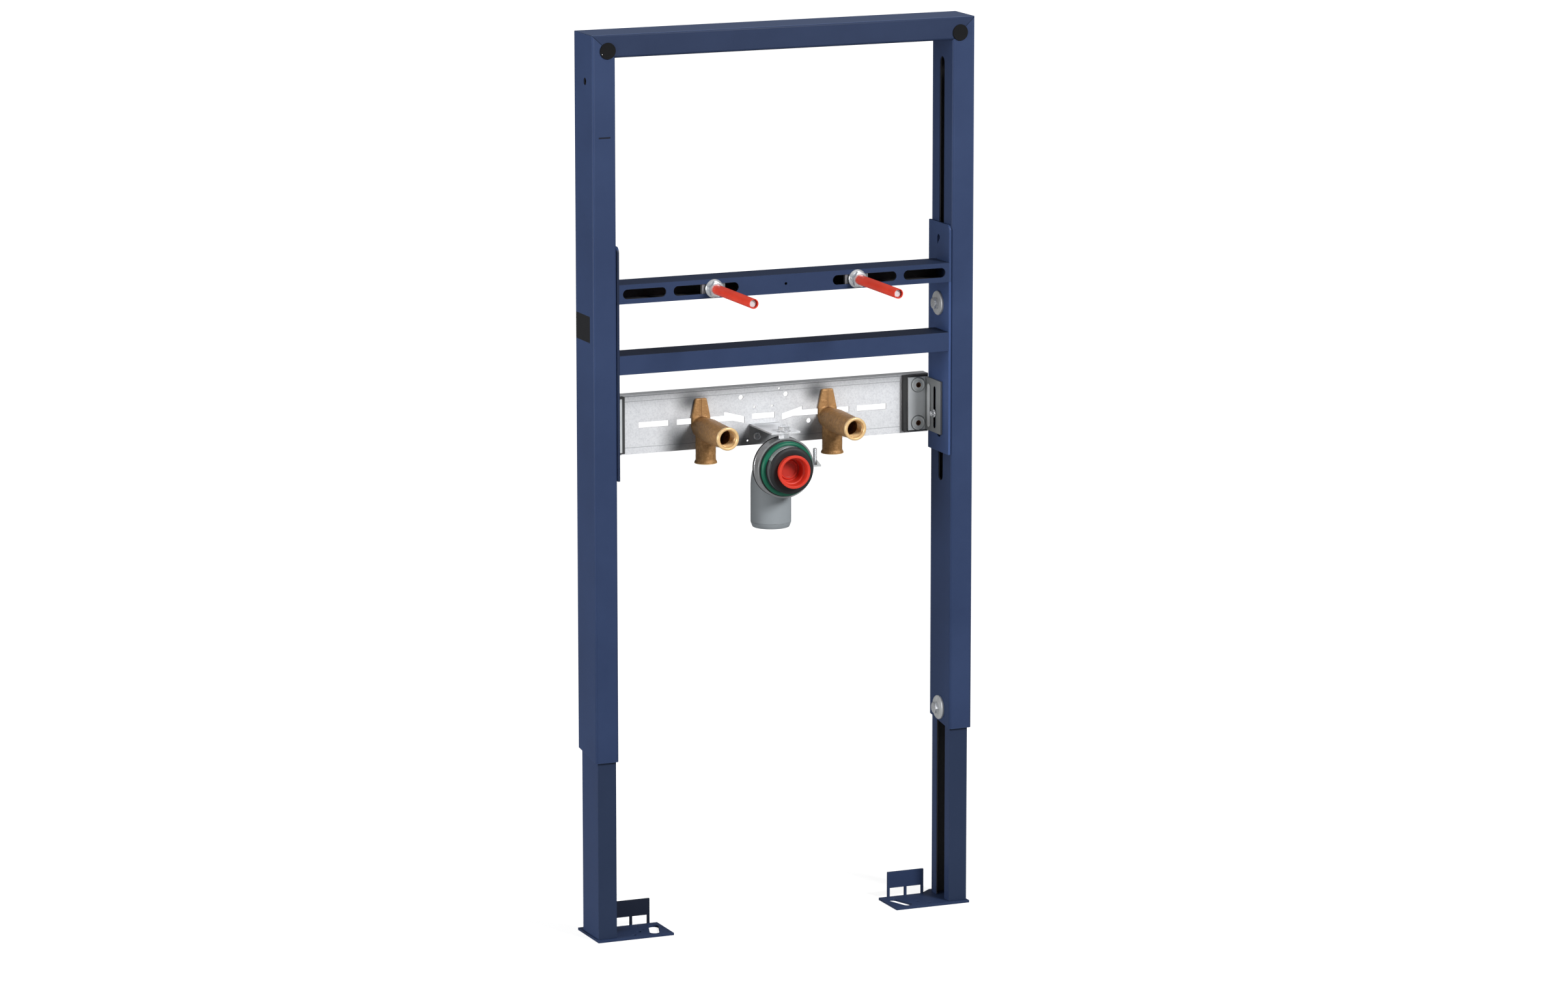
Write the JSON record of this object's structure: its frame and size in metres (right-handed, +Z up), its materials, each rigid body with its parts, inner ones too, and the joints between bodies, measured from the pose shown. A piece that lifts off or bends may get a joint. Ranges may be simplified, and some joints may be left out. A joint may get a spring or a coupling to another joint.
{
  "type": "basin installation frame",
  "caption": "Free-standing steel wall frame for a wash basin, with sliding feet, basin studs, tap elbows and a waste bend.",
  "frame": {"origin": "on the floor, centred under the bounding box", "axes": "+X to the right seen from the basin side, +Y away from the basin into the wall, +Z up"},
  "size_m": [0.5, 0.209, 1.11],
  "materials": {
    "blue_coat": "satin",
    "black_plastic": "matte",
    "red_sleeve": "satin",
    "red_plug": "satin",
    "galvanised": "satin",
    "bracket_steel": "satin",
    "black_rubber": "matte",
    "grey_grommet": "satin",
    "cast_brass": "rough",
    "grey_plastic": "satin",
    "green_seal": "satin",
    "zinc": "satin"
  },
  "bodies": {
    "frame": {"left_post": "blue_coat", "right_post": "blue_coat", "top_rail": "blue_coat", "left_corner_cap": "black_plastic", "right_corner_cap": "black_plastic", "left_leg_clamp_washer": "zinc", "left_leg_clamp_bolt": "zinc", "left_leg_clamp_nut_plate": "zinc", "right_leg_clamp_washer": "zinc", "right_leg_clamp_bolt": "zinc", "right_leg_clamp_nut_plate": "zinc"},
    "left_leg": {"left_leg": "blue_coat", "left_foot": "blue_coat"},
    "right_leg": {"right_leg": "blue_coat", "right_foot": "blue_coat"},
    "crossbar": {"left_crossbar_clamp_washer": "zinc", "left_crossbar_clamp_bolt": "zinc", "left_crossbar_clamp_nut_plate": "zinc", "right_crossbar_clamp_washer": "zinc", "right_crossbar_clamp_bolt": "zinc", "right_crossbar_clamp_nut_plate": "zinc", "left_side_plate": "blue_coat", "right_side_plate": "blue_coat", "basin_rail": "blue_coat", "lower_rail": "blue_coat", "left_stud": "zinc", "left_stud_nut": "zinc", "left_clamp_plate": "zinc", "left_sleeve": "red_sleeve", "right_stud": "zinc", "right_stud_nut": "zinc", "right_clamp_plate": "zinc", "right_sleeve": "red_sleeve", "left_bracket_screw": "zinc", "right_bracket_screw": "zinc"},
    "fittings": {"fittings_panel": "galvanised", "left_bracket": "bracket_steel", "left_pad": "black_rubber", "left_lower_grommet": "grey_grommet", "left_upper_grommet": "grey_grommet", "right_bracket": "bracket_steel", "right_pad": "black_rubber", "right_lower_grommet": "grey_grommet", "right_upper_grommet": "grey_grommet", "left_tap_elbow": "cast_brass", "right_tap_elbow": "cast_brass", "waste_bracket": "galvanised", "shelf_screw": "zinc", "hanger_bolt": "zinc", "coupling_nut": "zinc", "pipe_clamp": "zinc", "clamp_side_screw": "zinc", "clamp_lining": "black_rubber", "waste_bend": "grey_plastic", "rubber_collar": "black_rubber", "hose_clip": "zinc", "green_ring": "green_seal", "waste_plug": "red_plug"}
  },
  "joints": [
    {"name": "left_leg_slide", "type": "slide", "parent": "frame", "child": "left_leg", "axis": [0, 0, 1], "range_m": [0, 0.2]},
    {"name": "right_leg_slide", "type": "slide", "parent": "frame", "child": "right_leg", "axis": [0, 0, 1], "range_m": [0, 0.2]},
    {"name": "crossbar_slide", "type": "slide", "parent": "frame", "child": "crossbar", "axis": [0, 0, 1], "range_m": [-0.1, 0.15]},
    {"name": "fittings_slide", "type": "slide", "parent": "crossbar", "child": "fittings", "axis": [0, 0, 1], "range_m": [-0.025, 0.01]}
  ]
}
